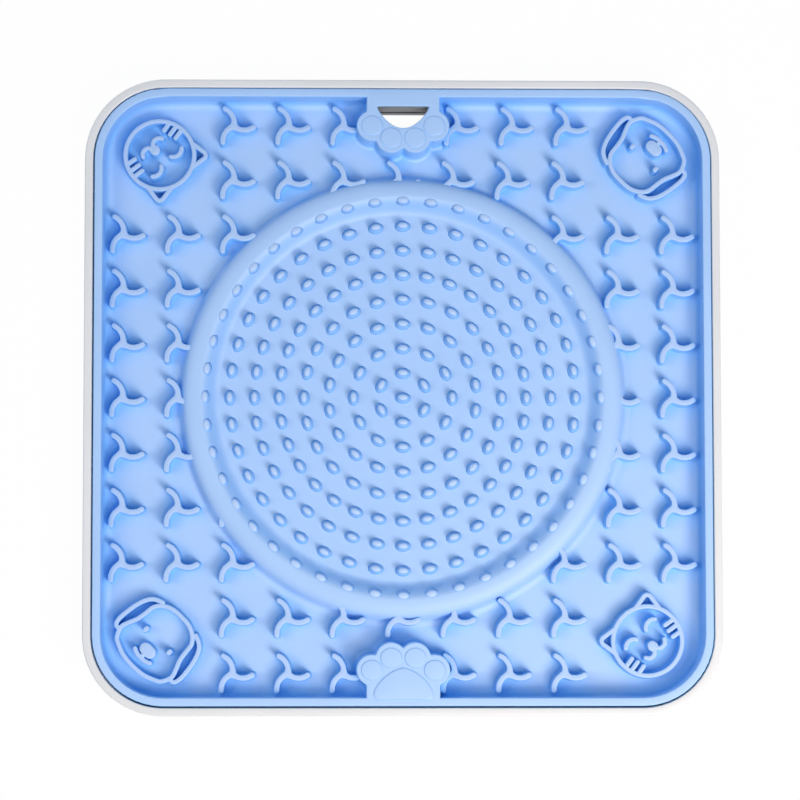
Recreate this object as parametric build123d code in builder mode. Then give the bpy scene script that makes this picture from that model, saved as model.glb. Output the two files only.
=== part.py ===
"""Lick mat: a moulded silicone mat with a raised lick bowl, lying in a shallow rigid tray.

Millimetres, +Z up. The origin is under the middle of the tray, on the surface it stands on.
+Y is the side with the hanging slot.
"""
from build123d import *
import math
import os

os.makedirs("parts", exist_ok=True)

# Mat, tray and feet
mat_side = 200.0
mat_corner = 23.0
mat_floor = 1.8
pan_depth = 8.0
border_width = 2.7
border_draft = 1.0
skin = 0.8
seat_gap = 0.4
tray_wall = 2.6
tray_floor = 2.0
rim_step = 0.4
rim_chamfer = 0.6
heel_chamfer = 1.5
foot_radius = 6.0
foot_sides = 16
foot_reach = 82.0
foot_proud = 1.0
foot_sunk = 1.0
foot_gap = 0.1
foot_chamfer = 0.4

# Raised bowl in the middle of the pan
bowl_foot_radius = 72.4
shoulder_radius = 69.4
crest_outer_radius = 66.6
crest_inner_radius = 62.8
bowl_radius = 58.4
crest_height = 5.5
shoulder_drop = 1.4
bowl_depth = 4.0

# Nubs: one in the middle, then rings that each start on the +Y side, the last one on the crest
nub_pitch = 8.05
nub_counts = [6, 12, 18, 24, 32, 36, 40]
crest_nub_count = 44
nub_length = 4.4
nub_width = 3.0
nub_draft = 12.0
nub_height = 2.6
crest_nub_height = 0.7

# Three-armed ridges on a square grid, left out under the bowl and in the corner blocks
ridge_height = 4.0
ridge_width = 1.6
arm_reach = 7.1
arm_sag = 1.2
arm_turn = -3.5
grid_pitch = 17.9
grid_middle = (-1.5, -0.7)
grid_half_count = 5
corner_block = 4
upper_row_nudge = 1.35

# Animal faces drawn in raised lines in the corners, heads towards the middle
face_reach = 112.0
line_width = 1.4
head_radius = 11.9

# Paws on the border, measured from the mat's edge inwards
paw_stem_half = 11.8
paw_neck = 7.5
toes = [(10.1, 12.1), (3.9, 16.0)]
toe_lobe_radius = 4.8
toe_pad_radius = 3.4
toe_pad_sides = 12
pad_rise = 0.4
pad_half_width = 9.6
pad_heel = 2.8
pad_apex = 12.5
slot_half_width = 8.6
slot_heel = 5.9
slot_apex = 12.9
boss_wall = 1.1
boss_gap = 0.3

# Outlines and levels that follow from the values above
tray_side = mat_side + 2 * (seat_gap + tray_wall)
tray_corner = mat_corner + seat_gap + tray_wall
well_side = mat_side + 2 * seat_gap
well_corner = mat_corner + seat_gap
pan_side = mat_side - 2 * border_width
pan_corner = mat_corner - border_width
tray_under = foot_proud
mat_under = tray_under + tray_floor
pan_level = mat_under + mat_floor
border_level = pan_level + pan_depth
rim_level = border_level + rim_step
crest_level = pan_level + crest_height
bowl_level = crest_level - bowl_depth
core_level = border_level - skin


def curved_bar(start, end, sag, width=line_width, steps=3):
    """A flat-ended bar along the arc from start to end, bowed to its right by sag, in straight steps.

    The hollow side of the bow has one step fewer than the outer side.
    """
    chord = Vector(*end) - Vector(*start)
    along = chord.normalized()
    left = Vector(-along.Y, along.X)
    half_turn = 2 * math.atan2(2 * sag, chord.length)
    radius = chord.length / (2 * math.sin(half_turn))
    centre = Vector(*start) + chord / 2 + left * (radius - sag)

    def side(arc_radius, turns):
        return [centre + along * arc_radius * math.sin(t) - left * arc_radius * math.cos(t) for t in turns]

    def stations(count):
        return [half_turn * (2 * step / count - 1) for step in range(count + 1)]

    hollow_steps = max(1, steps - 1)
    corners = side(radius + width / 2, stations(steps)) + side(radius - width / 2, stations(hollow_steps)[::-1])
    with BuildSketch() as bar:
        Polygon(*[(corner.X, corner.Y) for corner in corners], align=None)
    return bar.sketch


def three_arm_ridge():
    """Three bowed arms that meet at the origin."""
    arm = curved_bar((0, 0), (arm_reach, 0), arm_sag, ridge_width)
    with BuildSketch() as ridge:
        for turn in range(3):
            add(arm, rotation=arm_turn + 120 * turn)
    return ridge.sketch


def head_line(half_width, half_height, jowl, squareness, sides=16):
    """Closed raised line round a head: an oval that grows wider by jowl towards its chin."""
    def outline(inset):
        corners = []
        for corner in range(sides):
            turn = 2 * math.pi * corner / sides
            reach = abs(math.cos(turn)) ** squareness * (half_width - inset - jowl * math.sin(turn))
            corners.append((math.copysign(reach, math.cos(turn)), (half_height - inset) * math.sin(turn)))
        return corners

    with BuildSketch() as line:
        Polygon(*outline(0), align=None)
        Polygon(*outline(line_width), align=None, mode=Mode.SUBTRACT)
    return line.sketch


def both_sides(bars):
    """Bars given as (start, end, sag, steps), drawn with their mirror images about the Y axis."""
    with BuildSketch() as pair:
        for start, end, sag, steps in bars:
            add(curved_bar(start, end, sag, steps=steps))
        mirror(about=Plane.YZ)
    return pair.sketch


def cat_face():
    """Round head with pricked ears, closed eyes, a muzzle and whiskers, top of the head along +Y."""
    ear = [((10.2, 4.4), (11.3, 11.6), 0.1, 1), ((11.6, 11.3), (4.4, 10.2), 0.1, 1)]
    eye = [((2.1, 2.9), (6.7, 3.2), -1.1, 3)]
    mouth = [((0.4, -3.8), (4.4, -3.0), 0.9, 3)]
    whiskers = [((7.5, -0.3), (11.2, -0.9), 0.1, 1), ((6.9, -2.5), (10.9, -2.9), 0.1, 1),
                ((6.6, -4.8), (10.2, -5.2), 0.1, 1)]
    with BuildSketch() as face:
        add(head_line(head_radius, head_radius, jowl=0, squareness=1))
        add(both_sides(ear + eye + mouth + whiskers))
        with Locations((0, -1.9)):
            RegularPolygon(1.8, 8)
        with Locations((0, -3.4)):
            Rectangle(line_width, 2.2)
    return face.sketch


def dog_face():
    """Pear-shaped head between two hanging ears, dot eyes, an oval nose and a mouth."""
    ear = [((7.2, 10.2), (13.9, -3.6), -2.6, 4), ((13.9, -3.2), (11.2, -5.6), -0.7, 2)]
    mouth = [((-0.2, -7.2), (3.5, -6.6), 0.3, 1)]
    with BuildSketch() as face:
        add(head_line(10.7, 11.7, jowl=1.6, squareness=0.68))
        add(both_sides(ear + mouth))
        with Locations((-5.3, 0.6), (5.3, 0.6)):
            RegularPolygon(1.0, 8)
        with Locations((0, -3.9)):
            RegularPolygon(2.6, 10)
        with Locations((0, -6.2)):
            Rectangle(line_width, 2.0)
    return face.sketch


def paw_outline():
    """Stem with four toe lobes, growing along +Y from the mat's edge."""
    right = [(paw_stem_half, 0), (paw_stem_half, paw_neck), *toes]
    left = [(-x, y) for x, y in reversed(right)]
    with BuildSketch() as paw:
        Polygon(*right, *left, align=None)
        with Locations(*toes, *left[:2]):
            Circle(toe_lobe_radius)
    return paw.sketch


def paw_pad(half_width, heel, apex):
    """Pad of a paw: a straight heel closed by one arc."""
    with BuildSketch() as pad:
        with BuildLine():
            heel_line = Line((-half_width, heel), (half_width, heel))
            ThreePointArc(heel_line @ 1, (0, apex), heel_line @ 0)
        make_face()
    return pad.sketch


def edge_plane(side, level):
    """Plane at the middle of the +Y or -Y edge of the mat, its own +Y pointing into the mat."""
    return Plane(origin=(0, side * mat_side / 2, level), x_dir=(-side, 0, 0), z_dir=(0, 0, 1))


def ridge_spots():
    """Grid points that carry a ridge: outside the bowl and outside the four corner blocks."""
    spots = []
    counts = range(-grid_half_count, grid_half_count + 1)
    for column in counts:
        for row in counts:
            nudge = upper_row_nudge if row == grid_half_count and column > 0 else 0
            x = grid_middle[0] + grid_pitch * column + nudge
            y = grid_middle[1] + grid_pitch * row
            in_corner = min(abs(column), abs(row)) >= corner_block
            if math.hypot(x, y) > crest_outer_radius and not in_corner:
                spots.append((x, y))
    return spots


hanging_slot = paw_pad(slot_half_width, slot_heel, slot_apex)

# Rigid tray with an upstanding boss round the hanging slot
with BuildPart() as base_tray:
    with BuildSketch(Plane.XY.offset(tray_under)):
        RectangleRounded(tray_side, tray_side, tray_corner)
    extrude(amount=rim_level - tray_under)
    chamfer(base_tray.faces().sort_by(Axis.Z)[0].edges(), heel_chamfer)
    with BuildSketch(Plane.XY.offset(mat_under)):
        RectangleRounded(well_side, well_side, well_corner)
    extrude(amount=rim_level - mat_under, mode=Mode.SUBTRACT)
    chamfer(base_tray.faces().sort_by(Axis.Z)[-1].edges(), rim_chamfer)
    with BuildSketch(edge_plane(1, mat_under)):
        offset(hanging_slot, amount=boss_wall)
    extrude(amount=core_level - boss_gap - mat_under)
    with BuildSketch(edge_plane(1, tray_under)):
        add(hanging_slot)
    extrude(amount=rim_level - tray_under, mode=Mode.SUBTRACT)
    with BuildSketch(Plane.XY.offset(tray_under)):
        with GridLocations(2 * foot_reach, 2 * foot_reach, 2, 2):
            RegularPolygon(foot_radius + foot_gap, foot_sides)
    extrude(amount=foot_sunk, mode=Mode.SUBTRACT)
base_tray.part.label = "base_tray"
export_step(base_tray.part, "parts/base_tray.step")

# One-piece silicone mat: border, pan and bowl, then ridges, faces, paws, cores and nubs
with BuildPart() as lick_mat:
    with BuildSketch(Plane.XY.offset(mat_under)):
        RectangleRounded(mat_side, mat_side, mat_corner)
    extrude(amount=border_level - mat_under)
    with BuildSketch(Plane.XY.offset(border_level)):
        RectangleRounded(pan_side, pan_side, pan_corner)
    extrude(amount=-pan_depth, taper=border_draft, mode=Mode.SUBTRACT)

    with BuildSketch(Plane.XZ):
        Polygon((0, mat_under), (bowl_foot_radius, mat_under), (bowl_foot_radius, pan_level),
                (shoulder_radius, crest_level - shoulder_drop), (crest_outer_radius, crest_level),
                (crest_inner_radius, crest_level), (bowl_radius, bowl_level), (0, bowl_level), align=None)
    revolve(axis=Axis.Z)

    with BuildSketch(Plane.XY.offset(pan_level)):
        with Locations(*ridge_spots()):
            add(three_arm_ridge())
        Circle(crest_outer_radius, mode=Mode.SUBTRACT)
        with PolarLocations(face_reach, 2, start_angle=135):
            add(cat_face(), rotation=90)
        with PolarLocations(face_reach, 2, start_angle=45):
            add(dog_face(), rotation=90)
    extrude(amount=ridge_height)

    for side in (-1, 1):
        with BuildSketch(edge_plane(side, pan_level)):
            add(paw_outline())
        extrude(amount=pan_depth)
        with BuildSketch(edge_plane(side, border_level)):
            with Locations(*toes, *[(-x, y) for x, y in toes]):
                RegularPolygon(toe_pad_radius, toe_pad_sides)
            if side < 0:
                add(paw_pad(pad_half_width, pad_heel, pad_apex))
        extrude(amount=pad_rise)
    with BuildSketch(edge_plane(1, mat_under)):
        offset(hanging_slot, amount=boss_wall + boss_gap)
    extrude(amount=core_level - mat_under, mode=Mode.SUBTRACT)
    with BuildSketch(edge_plane(1, border_level)):
        add(hanging_slot)
    extrude(amount=-skin, mode=Mode.SUBTRACT)

    with BuildSketch(Plane.XY.offset(bowl_level)):
        Rectangle(nub_length, nub_width)
        for ring, count in enumerate(nub_counts, start=1):
            with PolarLocations(ring * nub_pitch, count, start_angle=90):
                Rectangle(nub_width, nub_length)
    extrude(amount=nub_height, taper=nub_draft)
    with BuildSketch(Plane.XY.offset(crest_level)):
        with PolarLocations((len(nub_counts) + 1) * nub_pitch, crest_nub_count, start_angle=90):
            Rectangle(nub_width, nub_length)
    extrude(amount=crest_nub_height, taper=nub_draft)
lick_mat.part.label = "lick_mat"
export_step(lick_mat.part, "parts/lick_mat.step")

# Four soft feet pressed up into round pockets under the tray's corners
foot_places = {"front_left": (-1, -1), "front_right": (1, -1), "back_left": (-1, 1), "back_right": (1, 1)}
for place, (x_side, y_side) in foot_places.items():
    with BuildPart() as foot:
        with BuildSketch():
            with Locations((x_side * foot_reach, y_side * foot_reach)):
                RegularPolygon(foot_radius, foot_sides)
        extrude(amount=foot_proud + foot_sunk)
        chamfer(foot.faces().sort_by(Axis.Z)[0].edges(), foot_chamfer)
    foot.part.label = f"foot_{place}"
    export_step(foot.part, f"parts/foot_{place}.step")
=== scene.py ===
import math

import bmesh
import bpy
import numpy as np
from mathutils import Matrix, Vector


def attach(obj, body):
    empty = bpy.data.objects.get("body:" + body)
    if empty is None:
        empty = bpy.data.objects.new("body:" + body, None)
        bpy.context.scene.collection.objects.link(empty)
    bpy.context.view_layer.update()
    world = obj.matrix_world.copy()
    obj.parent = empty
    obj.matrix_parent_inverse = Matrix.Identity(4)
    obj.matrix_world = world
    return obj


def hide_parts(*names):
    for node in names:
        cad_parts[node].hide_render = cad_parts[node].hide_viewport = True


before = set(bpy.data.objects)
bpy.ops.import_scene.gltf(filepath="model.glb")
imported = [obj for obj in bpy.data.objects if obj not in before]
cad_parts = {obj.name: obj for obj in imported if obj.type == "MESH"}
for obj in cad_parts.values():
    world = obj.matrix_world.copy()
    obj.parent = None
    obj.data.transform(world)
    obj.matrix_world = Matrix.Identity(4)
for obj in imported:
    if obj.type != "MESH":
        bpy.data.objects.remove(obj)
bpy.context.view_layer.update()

# Tray
# A shallow rigid tray, injection moulded in white polypropylene, with a low wall, a rounded rim and an
# upstanding boss round the hanging slot. The pieces' sizes are in millimetres, the studio's in metres.
tray_side = 206.0
tray_corner = 26.0
tray_wall = 2.6
tray_under = 1.0
tray_floor = 3.0
tray_rim = 13.2
boss_wall = 1.1
boss_top = 11.7
slot_edge = 94.35
slot_half_width = 8.7
slot_depth = 7.15
slot_taper = 1.12
slot_corner = 0.5
slot_bow_scale = 4.5
slot_middle = np.array([0.0, 91.6])
loop_count = 336


def rounded_square(side, corner):
    """Gap from a point to a square with rounded corners, negative inside: its distance from the square of
    the corners' centres, less the corner radius."""
    def gap(points):
        beyond = np.abs(points) - (side / 2 - corner)
        return np.linalg.norm(np.maximum(beyond, 0), axis=-1) + np.minimum(beyond.max(-1), 0) - corner
    return gap


def eased_maximum(a, b, ease):
    """The larger of a and b, with the step between them rounded: their mean plus half the root of the
    squared difference and the squared ease."""
    return (a + b + np.sqrt((a - b) ** 2 + ease ** 2)) / 2


def slot_outline(points):
    """Gap to the hanging slot: a bow, nearly a parabola, that hangs from a straight edge. The share of its
    width squared and the share of its depth to the power of the taper add up to one on the bow."""
    across = points[..., 0] / slot_half_width
    behind = points[..., 1] - slot_edge
    bow = slot_bow_scale * (across ** 2 + (np.abs(behind) / slot_depth) ** slot_taper - 1)
    return eased_maximum(bow, behind, slot_corner)


def loop_round(gap, middle, turns, inset=0.0, tries=300):
    """Closed loop on which the gap is minus the inset: every ray from the middle grows by the gap that is
    left until it meets the outline."""
    rays = np.stack([np.cos(turns), np.sin(turns)], -1)
    lengths = np.zeros(len(turns))
    for _ in range(tries):
        lengths = lengths - gap(middle + lengths[:, None] * rays) - inset
    return middle + lengths[:, None] * rays


def eased_profile(corners, steps=5):
    """Profile through corners (across, height, radius), each replaced by an arc of its radius: the arc's
    middle lies on the bisector, and its points turn evenly from one side's normal to the other's."""
    corners = np.array(corners, float)
    points = [corners[:1, :2]]
    for before, here, after in zip(corners[:-2], corners[1:-1], corners[2:]):
        back = (before - here)[:2] / np.linalg.norm((before - here)[:2])
        ahead = (after - here)[:2] / np.linalg.norm((after - here)[:2])
        half = np.arccos(np.clip(back @ ahead, -1, 1)) / 2
        bisector = (back + ahead) / np.linalg.norm(back + ahead)
        middle = here[:2] + bisector * here[2] / np.sin(half)
        start = here[:2] + back * here[2] / np.tan(half) - middle
        end = here[:2] + ahead * here[2] / np.tan(half) - middle
        share = np.linspace(0, 1, steps)[:, None]
        turn = np.pi - 2 * half
        arc = (np.sin((1 - share) * turn) * start + np.sin(share * turn) * end) / np.sin(turn)
        points.append(middle + arc)
    points.append(corners[-1:, :2])
    return np.vstack(points)


def at_height(loops, heights):
    """Flat loops lifted to their heights, as one grid of points."""
    lifted = np.broadcast_to(np.asarray(heights)[:, None, None], loops.shape[:2] + (1,))
    return np.concatenate([loops, lifted], -1)


def loop_stack(gap, middle, turns, profile, inwards=False):
    """Loops round an outline, one for each row (distance, height) of a profile, outside the outline or
    inwards of it."""
    way = 1 if inwards else -1
    loops = np.array([loop_round(gap, middle, turns, way * distance) for distance in profile[:, 0]])
    return at_height(loops, profile[:, 1])


def in_between(first, last, count):
    """Rows that run evenly from one row to another, without the two."""
    share = np.linspace(0, 1, count + 2)[1:-1, None, None]
    return first * (1 - share) + last * share


def skinned(name, grids, material, ring=False):
    """Mesh over one or more grids of closed loops: each cell is a quad, the last loop also joins the first
    one on a ring. Points that fall together at a pole are merged, and a shape that encloses a negative
    volume is turned inside out."""
    grids = np.asarray(grids, float)
    if grids.ndim == 3:
        grids = grids[None]
    copies, rows, count = grids.shape[:3]
    index = np.arange(rows * count).reshape(rows, count)
    if ring:
        index = np.vstack([index, index[:1]])
    low, high = index[:-1], index[1:]
    cells = np.stack([low, np.roll(low, -1, 1), np.roll(high, -1, 1), high], -1).reshape(-1, 4)
    flat = grids.reshape(copies, -1, 3)
    corner = flat[:, cells]
    volume = np.einsum("kfi,kfi->k", corner[:, :, 0], np.cross(corner[:, :, 1], corner[:, :, 2]))
    volume = volume + np.einsum("kfi,kfi->k", corner[:, :, 0], np.cross(corner[:, :, 2], corner[:, :, 3]))
    faces = np.where((volume < 0)[:, None, None], cells[None, :, ::-1], cells[None])
    faces = faces + (np.arange(copies) * rows * count)[:, None, None]
    mesh = bpy.data.meshes.new(name)
    mesh.from_pydata((flat.reshape(-1, 3) / 1000).tolist(), [], faces.reshape(-1, 4).tolist())
    work = bmesh.new()
    work.from_mesh(mesh)
    bmesh.ops.remove_doubles(work, verts=work.verts, dist=1e-7)
    work.to_mesh(mesh)
    work.free()
    mesh.polygons.foreach_set("use_smooth", np.ones(len(mesh.polygons), bool))
    mesh.materials.append(material)
    piece = bpy.data.objects.new(name, mesh)
    bpy.context.scene.collection.objects.link(piece)
    return piece


class Shade:
    """A shader socket that takes part in Python arithmetic: every operator adds one Math node."""

    def __init__(self, tree, socket=None):
        self.tree = tree
        self.socket = socket

    def node(self, kind, settings, inputs, output=0):
        """Adds a node of this kind, sets it up, then fills its sockets with values or links."""
        made = self.tree.nodes.new(kind)
        for name, value in settings.items():
            setattr(made, name, value)
        for name, value in inputs.items():
            if isinstance(value, Shade):
                self.tree.links.new(value.socket, made.inputs[name])
            else:
                made.inputs[name].default_value = value
        return Shade(self.tree, made.outputs[output] if made.outputs else None)

    def maths(self, operation, first, second):
        return self.node("ShaderNodeMath", {"operation": operation}, {0: first, 1: second})

    def __add__(self, other):
        return self.maths("ADD", self, other)

    def __radd__(self, other):
        return self.maths("ADD", other, self)

    def __sub__(self, other):
        return self.maths("SUBTRACT", self, other)

    def __rsub__(self, other):
        return self.maths("SUBTRACT", other, self)

    def __mul__(self, other):
        return self.maths("MULTIPLY", self, other)

    def __rmul__(self, other):
        return self.maths("MULTIPLY", other, self)

    def ramp(self, low, high):
        """0 below low, 1 above high, eased between them."""
        return self.node("ShaderNodeMapRange", {"interpolation_type": "SMOOTHSTEP"},
                         {"Value": self, "From Min": low, "From Max": high})

    def mixed(self, first, second):
        """Colour that goes from first to second as this value goes from 0 to 1."""
        return self.node("ShaderNodeMix", {"data_type": "RGBA"}, {0: self, 6: first, 7: second}, output=2)


def new_material(name):
    """Empty material with a Principled shader on its output, its tree and its place coordinates."""
    material = bpy.data.materials.new(name)
    material.use_nodes = True
    tree = material.node_tree
    tree.nodes.clear()
    base = Shade(tree)
    place = base.node("ShaderNodeTexCoord", {}, {}, output="Object")
    shader = tree.nodes.new("ShaderNodeBsdfPrincipled")
    out = tree.nodes.new("ShaderNodeOutputMaterial")
    tree.links.new(shader.outputs[0], out.inputs["Surface"])
    return material, base, place, shader


def connect(base, shader, **values):
    """Feeds the shader's sockets, named with underscores for spaces, with links or constants."""
    for name, value in values.items():
        socket = shader.inputs[name.replace("_", " ")]
        if isinstance(value, Shade):
            base.tree.links.new(value.socket, socket)
        else:
            socket.default_value = value


def tray_plastic():
    """Satin white plastic with a faint grain in the gloss. The wall of the hanging slot is painted dark grey
    as painted shade for the shadow that falls in it; it is found by the same gap as the slot's outline."""
    white, pale_white, slot_shadow_grey = (0.745, 0.735, 0.75, 1), (0.775, 0.765, 0.78, 1), (0.16, 0.18, 0.22, 1)
    material, base, place, shader = new_material("tray_plastic")
    grain = base.node("ShaderNodeTexNoise", {}, {"Vector": place, "Scale": 1400.0, "Detail": 3.0})
    cloud = base.node("ShaderNodeTexNoise", {}, {"Vector": place, "Scale": 22.0, "Detail": 2.0})
    tone = cloud.ramp(0.35, 0.65).mixed(white, pale_white)
    across = base.node("ShaderNodeSeparateXYZ", {}, {"Vector": place}, output="X") * (1000 / slot_half_width)
    behind = 1000 * base.node("ShaderNodeSeparateXYZ", {}, {"Vector": place}, output="Y") - slot_edge
    down = base.maths("MAXIMUM", behind * (-1 / slot_depth), 0.0)
    bow = slot_bow_scale * (across * across + base.maths("POWER", down, slot_taper) - 1)
    # Painted shade: the slot's wall, inside the slot's outline, turns dark grey.
    tone = base.maths("MAXIMUM", bow, behind).ramp(0.15, 0.4).mixed(slot_shadow_grey, tone)
    bump = base.node("ShaderNodeBump", {}, {"Strength": 0.12, "Distance": 0.00005, "Height": grain})
    connect(base, shader, Base_Color=tone, Roughness=0.34 + 0.12 * grain, Normal=bump)
    return material


square_turns = np.arange(loop_count) * 2 * np.pi / loop_count
tray_outline = rounded_square(tray_side, tray_corner)
edge_points = loop_round(tray_outline, np.zeros(2), square_turns)
slot_turns = np.arctan2(edge_points[:, 1] - slot_middle[1], edge_points[:, 0] - slot_middle[0])
wall_profile = eased_profile([(2.4, tray_under, 0), (0, tray_under, 1.6), (0, tray_rim, 0.6),
                              (tray_wall, tray_rim, 0.35), (tray_wall, tray_floor, 0.8), (3.8, tray_floor, 0)])
boss_profile = eased_profile([(1.8, tray_floor, 0), (boss_wall, tray_floor, 0.5), (boss_wall, boss_top, 0.3),
                              (0, boss_top, 0.3), (0, tray_under, 0.3), (0.6, tray_under, 0)])
wall_loops = loop_stack(tray_outline, slot_middle, slot_turns, wall_profile, inwards=True)
boss_loops = loop_stack(slot_outline, slot_middle, slot_turns, boss_profile)
floor_loops = in_between(wall_loops[-1], boss_loops[0], 6)
under_loops = in_between(boss_loops[-1], wall_loops[0], 6)
tray_loops = np.concatenate([wall_loops, floor_loops, boss_loops, under_loops])
tray = skinned("tray", tray_loops, tray_plastic(), ring=True)
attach(tray, "tray")
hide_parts("base_tray")

# Feet
# Four pale soft discs pressed up into pockets under the tray's corners, so that it doesn't slide while
# a pet licks. They stand 1 mm proud of the tray's underside.
foot_radius = 6.0
foot_reach = 82.0
foot_top = 2.0
foot_dish = 0.12
foot_segments = 40


def turned(profile, segments):
    """Grid of points of a profile (radius, height) turned once about the Z axis."""
    turns = np.arange(segments) * 2 * np.pi / segments
    rows = np.broadcast_to(profile[:, None, :], (len(profile), segments, 2))
    return np.stack([rows[..., 0] * np.cos(turns), rows[..., 0] * np.sin(turns), rows[..., 1]], -1)


def foot_rubber():
    """Matt grey rubber with a fine moulded grain."""
    material, base, place, shader = new_material("foot_rubber")
    grain = base.node("ShaderNodeTexNoise", {}, {"Vector": place, "Scale": 2200.0, "Detail": 2.0})
    tone = grain.ramp(0.3, 0.7).mixed((0.40, 0.41, 0.43, 1), (0.47, 0.48, 0.50, 1))
    bump = base.node("ShaderNodeBump", {}, {"Strength": 0.3, "Distance": 0.00006, "Height": grain})
    connect(base, shader, Base_Color=tone, Roughness=0.65 + 0.15 * grain, Normal=bump)
    return material


foot_profile = eased_profile([(0, foot_dish, 0), (foot_radius - 1.6, foot_dish, 0.3),
                              (foot_radius - 1.2, 0, 0.3), (foot_radius, 0, 0.5),
                              (foot_radius, foot_top, 0.3), (0, foot_top, 0)], steps=4)
foot_material = foot_rubber()
foot_grid = turned(foot_profile, foot_segments)
for place_name, x_side, y_side in (("front_left", -1, -1), ("front_right", 1, -1),
                                   ("back_left", -1, 1), ("back_right", 1, 1)):
    foot_place = foot_reach * np.array([x_side, y_side, 0])
    foot = skinned("soft_foot_" + place_name, foot_grid + foot_place, foot_material)
    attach(foot, "tray")
    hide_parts("foot_" + place_name)

# Mat: border and pan
# The soft mat, compression moulded in one piece of light blue silicone: a flat-topped border, a pan with
# nearly upright walls, and a recess under the upper paw that drops over the tray's boss.
mat_side = 200.0
mat_corner = 23.0
mat_under = 3.0
pan_level = 4.8
border_level = 12.8
border_width = 2.7
wall_slope = 0.12
floor_fillet = 2.6
boss_gap = 0.3
# Painted highlight: raised tops above this height are painted paler.
highlight_height = 8.7
core_wall = boss_wall + boss_gap


def silicone(name, side_shade, top_highlight=None, nook_shade=(0.19, 0.50, 0.93), outside=None):
    """Soft satin silicone with a faint cloud in the pigment. Level faces above the highlight height turn to
    the paler top colour, a painted highlight on raised tops. Steep sides turn to a darker side colour, painted
    shade, and narrow places at the feet of walls, found by ambient occlusion, turn to the nook colour, also
    painted shade. The outside is a radius and the lighter colour of painted shade that replaces the side
    colour beyond it."""
    pigment, pale_pigment = (0.395, 0.585, 0.925, 1), (0.415, 0.605, 0.945, 1)
    material, base, place, shader = new_material(name)
    cloud = base.node("ShaderNodeTexNoise", {}, {"Vector": place, "Scale": 30.0, "Detail": 2.0})
    grain = base.node("ShaderNodeTexNoise", {}, {"Vector": place, "Scale": 1800.0, "Detail": 2.0})
    height = base.node("ShaderNodeSeparateXYZ", {}, {"Vector": place}, output="Z")
    facing = base.node("ShaderNodeNewGeometry", {}, {}, output="Normal")
    level = base.node("ShaderNodeSeparateXYZ", {}, {"Vector": facing}, output="Z")
    tone = cloud.ramp(0.3, 0.7).mixed(pigment, pale_pigment)
    # Painted highlight: faces above the height turn to the paler top colour.
    if top_highlight:
        tone = height.ramp(highlight_height / 1000 - 0.0004, highlight_height / 1000).mixed(tone, (*top_highlight, 1))
    # Painted shade: steep sides turn darker, to a lighter shade beyond the outside radius.
    steep = (*side_shade, 1)
    if outside:
        away = base.node("ShaderNodeVectorMath", {"operation": "LENGTH"}, {0: place}, output="Value")
        steep = away.ramp(outside[0] / 1000, outside[0] / 1000 + 0.001).mixed(steep, (*outside[1], 1))
    tone = level.ramp(0.55, 0.99).mixed(steep, tone)
    # Painted shade: narrow places found by ambient occlusion turn to a deeper blue.
    openness = base.node("ShaderNodeAmbientOcclusion", {"samples": 6}, {"Distance": 0.006}, output="AO")
    tone = openness.ramp(0.3, 0.95).mixed((*nook_shade, 1), tone)
    bump = base.node("ShaderNodeBump", {}, {"Strength": 0.15, "Distance": 0.00004, "Height": grain})
    connect(base, shader, Base_Color=tone, Roughness=0.46 + 0.12 * grain, Normal=bump)
    return material


plain_silicone = silicone("silicone", (0.27, 0.51, 0.91))
mat_outline = rounded_square(mat_side, mat_corner)
border_profile = eased_profile([(4.0, mat_under, 0), (0, mat_under, 0.6), (0, border_level, 0.35),
                                (border_width, border_level, 0.45),
                                (border_width + wall_slope, pan_level, floor_fillet), (6.0, pan_level, 0)])
recess_profile = eased_profile([(core_wall + 0.5, pan_level, 0), (core_wall, pan_level, 0.1),
                                (core_wall, mat_under, 0.3), (core_wall + 0.8, mat_under, 0)])
border_loops = loop_stack(mat_outline, slot_middle, slot_turns, border_profile, inwards=True)
recess_loops = loop_stack(slot_outline, slot_middle, slot_turns, recess_profile)
pan_loops = in_between(border_loops[-1], recess_loops[0], 8)
mat_under_loops = in_between(recess_loops[-1], border_loops[0], 8)
pan = skinned("mat_pan", np.concatenate([border_loops, pan_loops, recess_loops, mat_under_loops]),
              plain_silicone, ring=True)
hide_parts("lick_mat")

# Mat: raised bowl
# A round bowl raised from the pan's floor: a bulging outside, a broad crest, and a level floor inside that
# rises to the crest in a soft double bend. It is part of the same moulding.
bowl_segments = 240
bowl_level = 6.4
crest_level = 10.3
crest_radius = 66.0
bowl_foot_radius = 72.4
hollow_radius = 59.6
bulge_power = 2.5
bowl_shift = np.array([0.0, -0.25, 0.0])


def hollow_floor(radius):
    """Height of the bowl's floor: level in the middle, then an even double bend up to the crest, where three
    times the share of the way squared less twice its cube is the share of the rise."""
    share = np.clip((radius - hollow_radius) / (crest_radius - hollow_radius), 0, 1)
    return bowl_level + (crest_level - bowl_level) * share ** 2 * (3 - 2 * share)


def bowl_profile():
    """Profile from below, round the outside and over the crest to the middle: a skirt that leaves the pan's
    floor as a hollow foot, an outside that is a quarter of an oval of the bulge's power, and the bowl's
    floor."""
    turns = np.linspace(0, np.pi / 2, 20)
    reach = (bowl_foot_radius - crest_radius) * np.cos(turns) ** (2 / bulge_power)
    rise = (crest_level - pan_level) * np.sin(turns) ** (2 / bulge_power)
    skirt = np.array([(-bowl_foot_radius, -0.6), (4.2, -0.6), (4.0, -0.16), (3.2, -0.07), (2.5, 0),
                      (1.8, 0.06), (1.15, 0.22), (0.65, 0.52), (0.3, 0.95)])
    outside = np.stack([crest_radius + reach, pan_level + rise], -1)[6:]
    radii = np.concatenate([np.linspace(crest_radius - 0.3, hollow_radius, 24), [50.0, 36.0, 18.0, 0.0]])
    inside = np.stack([radii, hollow_floor(radii)], -1)
    return np.concatenate([skirt + (bowl_foot_radius, pan_level), outside, inside])


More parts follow.
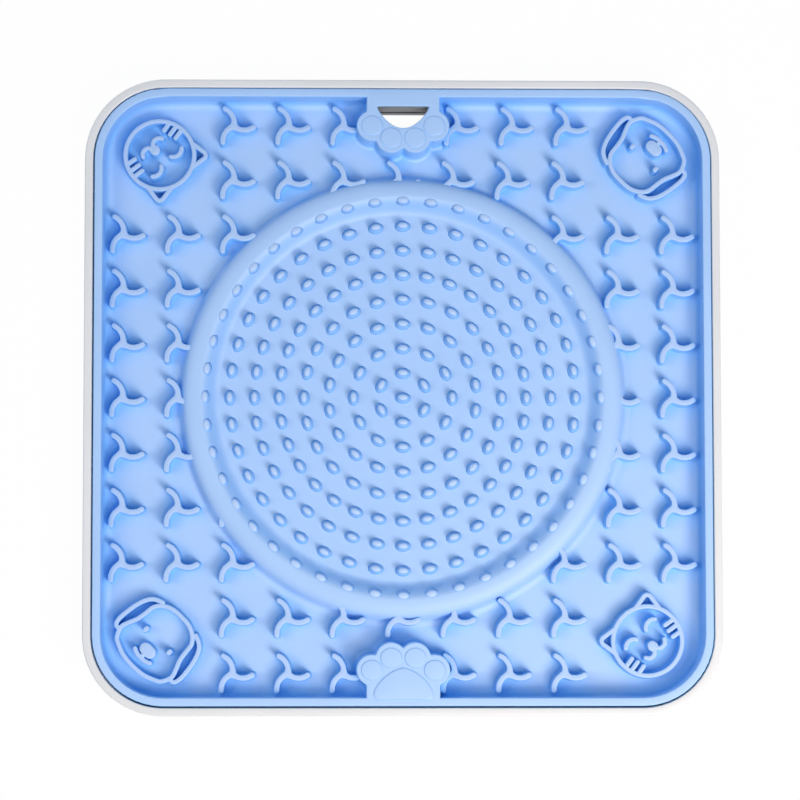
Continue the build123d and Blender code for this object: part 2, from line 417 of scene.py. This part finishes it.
# Painted shade on the bowl: darker on the inner slope, lighter outside the crest.
bowl_silicone = silicone("bowl_silicone", (0.21, 0.45, 0.88), nook_shade=(0.30, 0.54, 0.92),
                         outside=(crest_radius, (0.37, 0.57, 0.92)))
bowl = skinned("mat_bowl", turned(bowl_profile(), bowl_segments) + bowl_shift, bowl_silicone)

# Mat: nubs
# Short oval nubs with flared feet that stand in rings on the bowl's floor, the long way round the ring.
# The last ring is low and sits on the crest's inner shoulder.
nub_pitch = 8.05
nub_counts = [6, 12, 18, 24, 32, 36, 40]
crest_nub_count = 44
nub_sides = 12
nub_follow = 0.65
crest_ring_radius = nub_pitch * 8
crest_nub_sink = 0.2


def oval_stack(steps, sides):
    """Closed oval stack of steps (half length, half width, height): ellipses from a pole below to a pole on
    top."""
    turns = np.arange(sides) * 2 * np.pi / sides
    half_length, half_width, height = np.array(steps).T[:, :, None]
    return np.stack([half_width * np.cos(turns), half_length * np.sin(turns), height + 0 * turns], -1)


def ring_of(grid, radius, count, level):
    """Copies of a grid spread evenly round a ring, the first towards +Y, each turned to face outwards."""
    turns = np.pi / 2 + np.arange(count) * 2 * np.pi / count
    out = np.stack([np.cos(turns), np.sin(turns)], -1)[:, None, None, :]
    along = np.stack([-out[..., 1], out[..., 0]], -1)
    flat = out * (radius + grid[None, ..., :1]) + along * grid[None, ..., 1:2]
    height = np.broadcast_to(grid[None, ..., 2:] + level, flat.shape[:3] + (1,))
    return np.concatenate([flat, height], -1)


tall_nub = oval_stack([(0, 0, -0.9), (2.7, 1.95, -0.05), (2.25, 1.5, 0.3), (1.66, 0.96, 2.45),
                       (1.5, 0.8, 2.62), (0, 0, 2.68)], nub_sides)
low_nub = oval_stack([(0, 0, -0.9), (2.5, 1.75, -0.3), (2.1, 1.4, 0.2), (1.7, 1.02, 0.8), (1.56, 0.9, 0.9),
                      (0, 0, 0.93)], nub_sides)
nub_silicone = silicone("nub_silicone", (0.25, 0.47, 0.89), top_highlight=(0.46, 0.62, 0.93))
nub_rings = [ring_of(tall_nub, 0.0, 1, bowl_level)]
for ring, count in enumerate(nub_counts, start=1):
    nub_level = (1 - nub_follow) * bowl_level + nub_follow * hollow_floor(nub_pitch * ring)
    nub_rings.append(ring_of(tall_nub, nub_pitch * ring, count, nub_level))
nubs = skinned("mat_nubs", np.concatenate(nub_rings) + bowl_shift, nub_silicone)
crest_nub_level = hollow_floor(crest_ring_radius) - crest_nub_sink
crest_ring = ring_of(low_nub, crest_ring_radius, crest_nub_count, crest_nub_level)
crest_nubs = skinned("mat_crest_nubs", crest_ring + bowl_shift, nub_silicone)

# Mat: three-armed ridges
# Bowed three-armed ridges on a square grid all over the pan, with rounded ends and softly filleted feet.
# Those nearest the bowl run into its slope, and those at the paws run into them.
ridge_height = 4.0
ridge_half_width = 0.9
arm_reach = 6.45
arm_sag = 1.15
arm_turn = math.radians(-3.5)
grid_pitch = (17.92, 17.85)
grid_middle = (-1.44, -0.62)
grid_half_count = 5
corner_block = 4
upper_row_nudge = 1.35
bowl_swallow_radius = 66.0
bowl_swallow_run = 2.2
swallowed_height = 0.3
paw_swallow = (11.0, 82.0)
junction_ease = 0.25
end_fan = np.linspace(0, np.pi, 7)[1:-1]


def arc_points(start, end, sag, shares):
    """Points on the arc from start to end, bowed to its right by sag, and its left normals there: the arc's
    middle is on the perpendicular bisector, and the points turn evenly about it."""
    start, end = np.array(start, float), np.array(end, float)
    chord = end - start
    length = np.linalg.norm(chord)
    along = chord / length
    left = np.array([-along[1], along[0]])
    half_turn = 2 * np.arctan2(2 * sag, length)
    radius = length / (2 * np.sin(half_turn))
    turns = half_turn * (2 * np.asarray(shares)[:, None] - 1)
    middle = (start + end) / 2 + left * (radius - sag)
    outward = along * np.sin(turns) - left * np.cos(turns)
    return middle + radius * outward, -outward


def spun(points, angle):
    """Plane points turned about the origin."""
    return points @ np.array([[np.cos(angle), np.sin(angle)], [-np.sin(angle), np.cos(angle)]])


def ridge_grid(profile):
    """One ridge as a stack of loops. The loop walks out along each arm's right side, round its end and back
    along its left, with a ray at every step: across the arm, fanned round the end, and along the bisector at
    the junction. Each ray runs to where its distance from the three arcs, eased together, is the profile's."""
    shares = np.array([0.0, 0.2, 0.4, 0.6, 0.8, 1.0])
    spine, left = arc_points((0, 0), (arm_reach, 0), arm_sag, shares)
    across = np.arctan2(left[:, 1], left[:, 0])
    entry = across[0] - np.pi / 2
    lean = np.clip(1 - shares / 0.4, 0, 1)
    right_rays = (across - np.pi) * (1 - lean) + (entry - np.pi / 3) * lean
    left_rays = across * (1 - lean) + (entry + np.pi / 3) * lean
    walk = np.concatenate([spine, np.repeat(spine[-1:], len(end_fan), 0), spine[:0:-1]])
    rays = np.concatenate([right_rays, right_rays[-1] + end_fan, left_rays[:0:-1]])
    walk = np.concatenate([spun(walk, arm_turn + k * 2 * np.pi / 3) for k in range(3)])
    rays = np.concatenate([rays + arm_turn + k * 2 * np.pi / 3 for k in range(3)])
    dense, _ = arc_points((0, 0), (arm_reach, 0), arm_sag, np.linspace(0, 1, 60))
    arms = np.stack([spun(dense, arm_turn + k * 2 * np.pi / 3) for k in range(3)])

    def distance(points):
        nearest = np.linalg.norm(points[:, None, None, :] - arms[None], axis=-1).min(-1)
        return -junction_ease * np.log(np.exp(-nearest / junction_ease).sum(-1))

    direction = np.stack([np.cos(rays), np.sin(rays)], -1)
    loops = []
    for reach, _ in profile:
        lengths = np.zeros(len(walk))
        for _ in range(40 if reach else 0):
            lengths = np.maximum(lengths + reach - distance(walk + lengths[:, None] * direction), 0)
        loops.append(walk + lengths[:, None] * direction)
    return at_height(np.array(loops), profile[:, 1])


def ridge_spots():
    """Grid points outside the bowl, the paws and the four corner blocks, the upper right row nudged
    sideways."""
    numbers = np.arange(-grid_half_count, grid_half_count + 1)
    column, row = np.meshgrid(numbers, numbers)
    nudged = (row == grid_half_count) & (column > 0)
    x = grid_middle[0] + grid_pitch[0] * column + upper_row_nudge * nudged
    y = grid_middle[1] + grid_pitch[1] * row
    in_bowl = np.hypot(x, y) <= bowl_swallow_radius
    in_corner = np.minimum(abs(column), abs(row)) >= corner_block
    in_paw = (abs(x) < paw_swallow[0]) & (abs(y) > paw_swallow[1])
    kept = ~(in_bowl | in_corner | in_paw)
    return np.stack([x[kept], y[kept], np.full(kept.sum(), pan_level)], -1)


def stroke_profile(half_width, height):
    """Cross profile of a raised line (distance from its middle, height): closed below the floor, flared foot,
    nearly upright side, rounded shoulder and flat top."""
    side = np.array([(0.48, -0.1), (0.42, 0.02), (0.18, 0.22), (0.08, 0.7)]) + (half_width, 0)
    shoulder = np.array([(0.02, -0.25), (-0.05, -0.07), (-0.2, 0)]) + (half_width, height)
    return np.concatenate([[(0, -0.1)], side, shoulder, [(0, height + 0.02)]])


raised_silicone = silicone("raised_silicone", (0.22, 0.46, 0.88), top_highlight=(0.42, 0.58, 0.90))
one_ridge = ridge_grid(stroke_profile(ridge_half_width, ridge_height))
ridges_grid = one_ridge[None] + ridge_spots()[:, None, None, :]
from_middle = np.hypot(ridges_grid[..., 0], ridges_grid[..., 1])
bowl_way = np.clip((from_middle - bowl_swallow_radius) / bowl_swallow_run, 0, 1)
ridge_limit = pan_level + swallowed_height + (ridge_height - swallowed_height) * bowl_way
ridges_grid[..., 2] = np.minimum(ridges_grid[..., 2], ridge_limit)
ridges = skinned("mat_ridges", ridges_grid, raised_silicone)

# Mat: animal faces
# Plain cat and dog faces drawn in raised lines in the four corners, the tops of their heads towards the
# bowl. They stand as high as the ridges and are part of the same moulding.
face_reach = 112.0
line_half_width = 0.74
head_radius = 11.2


def stroke_walk(path):
    """Walk round an open path: up its right side, round its end, back along its left and round its start.
    Gives the path point and the outward ray of every step."""
    along = np.gradient(path, axis=0)
    along = along / np.linalg.norm(along, axis=1)[:, None]
    left = np.stack([-along[:, 1], along[:, 0]], -1)
    at_end = np.arctan2(-left[-1, 1], -left[-1, 0]) + end_fan
    at_start = np.arctan2(left[0, 1], left[0, 0]) + end_fan
    end_rays = np.stack([np.cos(at_end), np.sin(at_end)], -1)
    start_rays = np.stack([np.cos(at_start), np.sin(at_start)], -1)
    end_points = np.repeat(path[-1:], len(end_fan), 0)
    start_points = np.repeat(path[:1], len(end_fan), 0)
    walk = np.concatenate([path, end_points, path[::-1], start_points])
    rays = np.concatenate([-left, end_rays, left[::-1], start_rays])
    return walk, rays


def stroke_grid(path, half_width=line_half_width, height=ridge_height):
    """Raised line along an open path: the walk round it pushed out along its rays by the stroke profile."""
    walk, rays = stroke_walk(path)
    profile = stroke_profile(half_width, height)
    return at_height(walk + profile[:, None, :1] * rays, profile[:, 1])


def ring_grid(path, half_width=line_half_width, height=ridge_height):
    """Raised line along a closed path: the stroke profile and its mirror image carried round the path."""
    along = np.roll(path, -1, 0) - np.roll(path, 1, 0)
    along = along / np.linalg.norm(along, axis=1)[:, None]
    left = np.stack([-along[:, 1], along[:, 0]], -1)
    profile = stroke_profile(half_width, height)
    section = np.concatenate([profile[1:-1], profile[-1:], profile[-2:0:-1] * [-1, 1], profile[:1]])
    return at_height(path + section[:, None, :1] * left, section[:, 1])


def both_sides(path):
    """A path and its mirror image about the face's middle line."""
    return [path, path * np.array([-1, 1])]


def bow(start, end, sag, steps=9):
    """Path along the arc from start to end, bowed to its right by sag."""
    return arc_points(start, end, sag, np.linspace(0, 1, steps))[0]


def smooth_path(points, closed=False, steps=5):
    """Curve through points: between two neighbours a cubic that leaves each of them along the line that
    joins the points on either side of it. An open curve's ends are mirrored to find their neighbours."""
    points = np.array(points, float)
    before = points[-1:] if closed else 2 * points[:1] - points[1:2]
    after = points[:2] if closed else 2 * points[-1:] - points[-2:-1]
    row = np.concatenate([before, points, after])[:, None, :]
    a, b, c, d = row[:-3], row[1:-2], row[2:-1], row[3:]
    share = (np.arange(steps) / steps)[None, :, None]
    curve = b + share * (c - a) / 2 + share ** 2 * (a - 2.5 * b + 2 * c - d / 2)
    curve = (curve + share ** 3 * (1.5 * (b - c) + (d - a) / 2)).reshape(-1, 2)
    return curve if closed else np.concatenate([curve, points[-1:]])


def cat_face():
    """Strokes of a cat: round head, corner-shaped ears, closed eyes, a round nose over two curls,
    whiskers."""
    turns = np.arange(64) * 2 * np.pi / 64
    strokes = [ring_grid(head_radius * np.stack([np.cos(turns), np.sin(turns)], -1))]
    paths = [eased_profile([(10.2, 4.4, 0), (11.25, 11.25, 1.4), (4.4, 10.2, 0)], steps=9),
             bow((2.2, 2.9), (6.7, 3.3), -1.15), bow((0.5, -3.6), (4.3, -3.4), 1.25),
             bow((7.6, -0.4), (10.9, -0.9), 0.02), bow((7.1, -2.5), (10.6, -3.0), 0.02),
             bow((6.7, -4.8), (9.9, -5.4), 0.02)]
    for path in paths:
        strokes += [stroke_grid(side) for side in both_sides(path)]
    strokes.append(stroke_grid(bow((0, -2.2), (0, -2.5), 0.01), half_width=1.7))
    return strokes


def dog_face():
    """Strokes of a dog: pear-shaped head, hanging ears, oval eyes, a broad nose, a stem and a mouth."""
    cheek = np.array([(3.8, 11.1), (6.8, 9.6), (8.6, 7.3), (9.05, 4.1), (9.6, 1.0), (10.7, -1.7), (11.5, -4.7),
                      (10.1, -7.9), (8.1, -9.1), (4.6, -10.4)])
    head = np.concatenate([[(0, 11.4)], cheek, [(0, -10.8)], cheek[::-1] * [-1, 1]])
    ear = smooth_path([(7.5, 10.4), (9.35, 9.75), (11.05, 8.5), (12.35, 6.2), (13.25, 3.0), (13.75, -0.5),
                       (13.85, -3.3), (13.15, -5.2), (11.3, -5.4)])
    strokes = [ring_grid(smooth_path(head, closed=True))]
    for path in (ear, bow((0.0, -7.0), (3.4, -6.3), 0.3)):
        strokes += [stroke_grid(side) for side in both_sides(path)]
    eye = bow((5.3, 0.95), (5.3, 0.25), 0.01)
    strokes += [stroke_grid(side, half_width=0.8) for side in both_sides(eye)]
    strokes.append(stroke_grid(bow((-1.0, -3.9), (1.0, -3.9), 0.01), half_width=2.0))
    strokes.append(stroke_grid(bow((0, -5.2), (0, -6.9), 0.01)))
    return strokes


def joined(name, grids, material):
    """One piece made of several grids of different sizes."""
    pieces = [skinned(name, grid, material, ring=ring) for grid, ring in grids]
    work = bmesh.new()
    for piece in pieces:
        work.from_mesh(piece.data)
    mesh = pieces[0].data
    work.to_mesh(mesh)
    work.free()
    for piece in pieces[1:]:
        spare = piece.data
        bpy.data.objects.remove(piece)
        bpy.data.meshes.remove(spare)
    mesh.polygons.foreach_set("use_smooth", np.ones(len(mesh.polygons), bool))
    return pieces[0]


def placed(strokes, turn, nudge):
    """A face's strokes set into its corner, a little off the diagonal, and turned so that the head's top
    looks at the middle of the mat. Each comes with whether it is the closed outline of the head."""
    middle = np.array([math.cos(turn), math.sin(turn)]) * face_reach + nudge
    set_down = []
    for number, grid in enumerate(strokes):
        flat = spun(grid[..., :2], turn + math.pi / 2) + middle
        set_down.append((np.concatenate([flat, grid[..., 2:] + pan_level], -1), number == 0))
    return set_down


mat_pieces = [pan, bowl, nubs, crest_nubs, ridges]
for corner_name, strokes, quarter, nudge in (("cat_back_left", cat_face(), 3, (-0.1, -0.25)),
                                             ("dog_back_right", dog_face(), 1, (0.3, -0.25)),
                                             ("dog_front_left", dog_face(), 5, (-0.5, -0.35)),
                                             ("cat_front_right", cat_face(), 7, (0.0, -0.1))):
    set_down = placed(strokes, quarter * math.pi / 4, np.array(nudge))
    mat_pieces.append(joined("mat_" + corner_name, set_down, raised_silicone))

# Mat: paws
# Two paws that stand in from the border at full height, with four slightly raised toe pads each. The upper
# one is a thin skin over the tray's boss, and its pad is the hanging slot; the lower one's pad is raised.
paw_stem_half = 11.9
paw_stem_top = 14.5
toe_lobe_radius = 5.0
toe_ease = 0.22
pad_rise = 0.3
pad_half = (9.5, 8.45)
pad_centre = 4.2
pad_power = 1.57
pad_scale = 8.0
pad_corner = 1.0
heel_line = 2.9
heel_bow = 0.55
heel_half = 9.0
paw_level = border_level + 0.004
toe_middles = np.array([(10.1, 12.1), (3.9, 16.0), (-3.9, 16.0), (-10.1, 12.1)])
paw_rear = 0.9
front_paw_nudge = (-0.1, -0.5)
paw_skin = 0.8
paw_root = pan_level - 0.6


def paw_outline(points):
    """Gap to the paw, measured from the mat's edge inwards: the nearest of the stem and the toes, eased
    together."""
    stem_centre, stem_half = (paw_stem_top + paw_rear) / 2, (paw_stem_top - paw_rear) / 2
    across, along = np.abs(points[..., 0]), np.abs(points[..., 1] - stem_centre)
    parts = [np.maximum(across - paw_stem_half, along - stem_half)]
    parts += [np.linalg.norm(points - toe, axis=-1) - toe_lobe_radius for toe in toe_middles]
    parts = np.clip(np.stack(parts, -1), -30, 30)
    return -toe_ease * np.log(np.exp(-parts / toe_ease).sum(-1))


def pad_outline(points):
    """Gap to the lower paw's pad: an oval drawn in towards a diamond, cut by a heel that bows inwards."""
    across = np.abs(points[..., 0]) / pad_half[0]
    along = np.abs(points[..., 1] - pad_centre) / pad_half[1]
    reach = (across ** pad_power + along ** pad_power) ** (1 / pad_power)
    heel = heel_line - heel_bow * (points[..., 0] / heel_half) ** 2 - points[..., 1]
    return eased_maximum(pad_scale * (reach - 1), heel, pad_corner)


def slot_from_edge(points):
    """Gap to the hanging slot, measured from the mat's edge inwards."""
    return slot_outline(np.stack([points[..., 0], mat_side / 2 - points[..., 1]], -1))


def onto_mat(grid, side):
    """Points measured from the middle of the mat's back (+1) or front (-1) edge inwards, set on the mat. The
    front paw sits a little to the left and nearer to its edge."""
    nudge = front_paw_nudge if side < 0 else (0.0, 0.0)
    x = -side * grid[..., 0] + nudge[0]
    y = side * (mat_side / 2 - grid[..., 1]) + nudge[1]
    return np.stack([x, y, grid[..., 2]], -1)


def pole(height):
    """Loop of points that all lie on the paw's middle, which closes a stack of loops."""
    return np.broadcast_to(np.array([*paw_middle, height]), (1, len(paw_turns), 3))


paw_steps = 288
paw_turns = np.arange(paw_steps) * 2 * np.pi / paw_steps
paw_middle = np.array([0.0, 8.4])
paw_flare = np.array([(2.3, -0.6), (2.2, -0.12), (1.7, -0.03), (1.25, 0.04), (0.85, 0.18), (0.5, 0.5),
                      (0.28, 1.0), (0.15, 1.8)]) + (0, pan_level)
paw_shoulder = np.array([(0.0, -0.45), (-0.12, -0.15), (-0.25, -0.03), (-0.42, 0), (-0.7, 0)]) + (0, paw_level)
paw_wall = loop_stack(paw_outline, paw_middle, paw_turns, np.concatenate([paw_flare, paw_shoulder]))
slot_rim_profile = np.array([(0.25, paw_level), (0.06, paw_level - 0.08), (0.0, paw_level - 0.25),
                             (0.0, paw_level - paw_skin + 0.2), (0.15, paw_level - paw_skin),
                             (core_wall, paw_level - paw_skin), (core_wall, paw_root)])
slot_rim = loop_stack(slot_from_edge, paw_middle, paw_turns, slot_rim_profile)
upper_top = in_between(paw_wall[-1], slot_rim[0], 6)
upper_paw = skinned("mat_paw_back", onto_mat(np.concatenate([paw_wall, upper_top, slot_rim]), 1),
                    plain_silicone, ring=True)
lower_loops = np.concatenate([pole(paw_root), paw_wall, pole(paw_level)])
lower_paw = skinned("mat_paw_front", onto_mat(lower_loops, -1), plain_silicone)
pad_profile = np.array([(0.3, -0.5), (0.3, -0.01), (0.18, 0.05), (-0.02, pad_rise - 0.1),
                        (-0.12, pad_rise - 0.02), (-0.25, pad_rise)]) + (0, paw_level)
pad_wall = loop_stack(pad_outline, paw_middle, paw_turns, pad_profile)
pad_loops = np.concatenate([pole(pad_profile[0, 1]), pad_wall, pole(pad_profile[-1, 1])])
low_silicone = silicone("low_silicone", (0.27, 0.49, 0.90))
lower_pad = skinned("mat_paw_pad", onto_mat(pad_loops, -1), low_silicone)
toe_sides = 64
toe_grid = oval_stack([(0, 0, -0.5), (3.35, 3.6, -0.5), (3.35, 3.6, -0.01), (3.24, 3.49, 0.05),
                       (3.06, 3.31, pad_rise - 0.1), (2.97, 3.22, pad_rise - 0.02), (2.85, 3.1, pad_rise),
                       (0, 0, pad_rise)], toe_sides)
toe_places = np.concatenate([toe_middles, np.full((4, 1), paw_level)], -1)
toe_grids = toe_grid[None] + toe_places[:, None, None, :]
both_paws = np.concatenate([onto_mat(toe_grids, 1), onto_mat(toe_grids, -1)])
toe_pads = skinned("mat_toe_pads", both_paws, low_silicone)
mat_pieces += [upper_paw, lower_paw, lower_pad, toe_pads]
mat_off_centre = Vector((0.12, 0.15, 0.0))
for piece in mat_pieces:
    piece.data.transform(Matrix.Translation(mat_off_centre / 1000))
    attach(piece, "mat")

# Studio
# A plain white floor, warm soft lights on the right, high in front, on the left and low behind, a cool sky
# that fills the shadows, and the camera above the object, a little towards the front and the left.
floor_half = 4.0
floor_glow = 0.97
lamp_colour = (1.0, 0.86, 0.73)
sky_colour = (0.2, 0.62, 1, 1)
sky_strength = 0.35
white = (1, 1, 1, 1)


def seen_or_mirrored(base):
    """1 for a ray from the camera, from a gloss or through glass, and 0 for a ray that lights the object."""
    rays = [base.node("ShaderNodeLightPath", {}, {}, output="Is %s Ray" % kind)
            for kind in ("Camera", "Glossy", "Transmission")]
    return base.maths("MINIMUM", rays[0] + rays[1] + rays[2], 1.0)


def white_floor():
    """White floor that the camera sees nearly as bare white, with a trace of the object's shadow."""
    material = bpy.data.materials.new("white_floor")
    material.use_nodes = True
    tree = material.node_tree
    tree.nodes.clear()
    base = Shade(tree)
    seen = seen_or_mirrored(base)
    plain = base.node("ShaderNodeBsdfDiffuse", {}, {"Color": (0.9, 0.9, 0.9, 1)})
    glow = base.node("ShaderNodeEmission", {}, {"Color": white, "Strength": 1.0})
    mix = base.node("ShaderNodeMixShader", {}, {0: floor_glow * seen, 1: plain, 2: glow})
    base.node("ShaderNodeOutputMaterial", {}, {"Surface": mix})
    return material


floor_mesh = bpy.data.meshes.new("floor")
floor_corners = [(floor_half * x, floor_half * y, 0) for x, y in ((-1, -1), (1, -1), (1, 1), (-1, 1))]
floor_mesh.from_pydata(floor_corners, [], [(0, 1, 2, 3)])
floor_mesh.materials.append(white_floor())
floor = bpy.data.objects.new("floor", floor_mesh)
bpy.context.scene.collection.objects.link(floor)

world = bpy.data.worlds.new("studio")
world.use_nodes = True
bpy.context.scene.world = world
sky = Shade(world.node_tree)
world.node_tree.nodes.clear()
dim = sky.node("ShaderNodeBackground", {}, {"Color": sky_colour, "Strength": sky_strength})
bright = sky.node("ShaderNodeBackground", {}, {"Color": white, "Strength": 1.0})
sky_mix = sky.node("ShaderNodeMixShader", {}, {0: seen_or_mirrored(sky), 1: dim, 2: bright})
sky.node("ShaderNodeOutputWorld", {}, {"Surface": sky_mix})


def soft_light(name, place, size, power):
    """Square area lamp at a place, facing the middle of the floor, in metres and watts."""
    lamp = bpy.data.lights.new(name, "AREA")
    lamp.size = size
    lamp.energy = power
    lamp.color = lamp_colour
    holder = bpy.data.objects.new(name, lamp)
    holder.location = place
    holder.rotation_euler = Vector(place).to_track_quat("Z", "Y").to_euler()
    bpy.context.scene.collection.objects.link(holder)


soft_light("right", (0.406, -0.484, 0.569), 0.32, 4.95)
soft_light("high_front", (0.239, -0.477, 1.075), 0.45, 4.55)
soft_light("left", (-0.849, 0, 0.849), 0.5, 3.0)
soft_light("low_behind", (-0.35, 0.9, 0.10), 0.16, 2.4)

camera_data = bpy.data.cameras.new("camera")
camera = bpy.data.objects.new("camera", camera_data)
bpy.context.scene.collection.objects.link(camera)
bpy.context.scene.camera = camera
frame_width = 0.25716
camera_height = 0.600
rim_height = tray_rim / 1000
frame_middle = (-0.00104, -0.00154)
camera_place = (-0.021, -0.058)
tilt = math.radians(2.5)
side_tilt = math.radians(0.8)
camera_data.sensor_width = 36.0
camera_data.lens = camera_data.sensor_width * camera_height / frame_width
camera.location = (camera_place[0], camera_place[1], camera_height + rim_height)
camera.rotation_euler = (tilt, -side_tilt, 0)
shift_right = frame_middle[0] - camera_place[0] - camera_height * math.tan(side_tilt)
shift_up = frame_middle[1] - camera_place[1] - camera_height * math.tan(tilt)
camera_data.shift_x = shift_right / frame_width
camera_data.shift_y = shift_up / frame_width
bpy.context.scene.view_settings.view_transform = "Standard"
